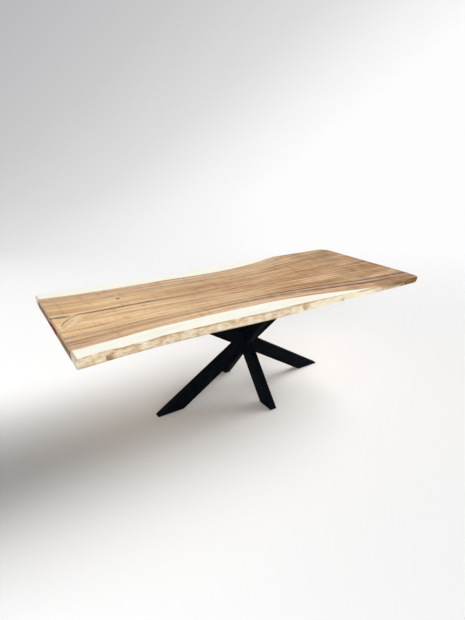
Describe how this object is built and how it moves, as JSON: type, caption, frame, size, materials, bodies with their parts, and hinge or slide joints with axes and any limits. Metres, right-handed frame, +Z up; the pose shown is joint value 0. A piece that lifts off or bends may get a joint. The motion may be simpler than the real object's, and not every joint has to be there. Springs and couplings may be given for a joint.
{
  "type": "live-edge slab table",
  "caption": "Long dining table: a solid live-edge wood slab with sawn ends on a black steel spider base of crossing rectangular tubes, with levelling glides.",
  "frame": {"origin": "on the floor under the middle of the slab's box", "axes": "+X along the slab to its rounded end, +Y to the back live edge, +Z up"},
  "size_m": [2.4, 1.0511, 0.775],
  "materials": {
    "oiled_wood": "satin oil",
    "dark_resin": "sanded flush",
    "black_powder_coat": "satin powder coat",
    "zinc_plated_steel": "zinc plated",
    "insert_brass": "turned",
    "black_nylon": "moulded"
  },
  "bodies": {
    "table": {"slab": "oiled_wood", "end_check_resin": "dark_resin", "long_check_resin": "dark_resin", "long_strut": "black_powder_coat", "right_leg": "black_powder_coat", "left_arm": "black_powder_coat", "front_leg": "black_powder_coat", "front_arm": "black_powder_coat", "back_leg": "black_powder_coat", "back_arm": "black_powder_coat", "mounting_plate_left": "black_powder_coat", "mounting_plate_right": "black_powder_coat", "mounting_plate_front": "black_powder_coat", "mounting_plate_back": "black_powder_coat", "foot_plate_left": "black_powder_coat", "foot_plate_right": "black_powder_coat", "foot_plate_front": "black_powder_coat", "foot_plate_back": "black_powder_coat", "weld_nuts": "zinc_plated_steel", "mounting_bolts": "zinc_plated_steel", "mounting_washers": "zinc_plated_steel", "threaded_inserts": "insert_brass"},
    "left_pad": {"glide_pad_left": "black_nylon"},
    "left_stud": {"glide_stud_left": "zinc_plated_steel"},
    "right_pad": {"glide_pad_right": "black_nylon"},
    "right_stud": {"glide_stud_right": "zinc_plated_steel"},
    "front_pad": {"glide_pad_front": "black_nylon"},
    "front_stud": {"glide_stud_front": "zinc_plated_steel"},
    "back_pad": {"glide_pad_back": "black_nylon"},
    "back_stud": {"glide_stud_back": "zinc_plated_steel"}
  },
  "joints": [
    {"name": "left_glide_slide", "type": "slide", "parent": "table", "child": "left_pad", "axis": [0, 0, -1], "range_m": [0, 0.012]},
    {"name": "left_stud_turn", "type": "hinge", "parent": "left_pad", "child": "left_stud", "pos_m": [-0.5656, -0.03, 0], "axis": [0, 0, -1], "range_deg": [0, 2880]},
    {"name": "right_glide_slide", "type": "slide", "parent": "table", "child": "right_pad", "axis": [0, 0, -1], "range_m": [0, 0.012]},
    {"name": "right_stud_turn", "type": "hinge", "parent": "right_pad", "child": "right_stud", "pos_m": [0.6056, -0.03, 0], "axis": [0, 0, -1], "range_deg": [0, 2880]},
    {"name": "front_glide_slide", "type": "slide", "parent": "table", "child": "front_pad", "axis": [0, 0, -1], "range_m": [0, 0.012]},
    {"name": "front_stud_turn", "type": "hinge", "parent": "front_pad", "child": "front_stud", "pos_m": [0.02, -0.31792, 0], "axis": [0, 0, -1], "range_deg": [0, 2880]},
    {"name": "back_glide_slide", "type": "slide", "parent": "table", "child": "back_pad", "axis": [0, 0, -1], "range_m": [0, 0.012]},
    {"name": "back_stud_turn", "type": "hinge", "parent": "back_pad", "child": "back_stud", "pos_m": [0.02, 0.25792, 0], "axis": [0, 0, -1], "range_deg": [0, 2880]}
  ],
  "couplings": [
    {"joint": "left_stud_turn", "follows": "left_glide_slide", "rad_per_m": 4188.8},
    {"joint": "right_stud_turn", "follows": "right_glide_slide", "rad_per_m": 4188.8},
    {"joint": "front_stud_turn", "follows": "front_glide_slide", "rad_per_m": 4188.8},
    {"joint": "back_stud_turn", "follows": "back_glide_slide", "rad_per_m": 4188.8}
  ]
}
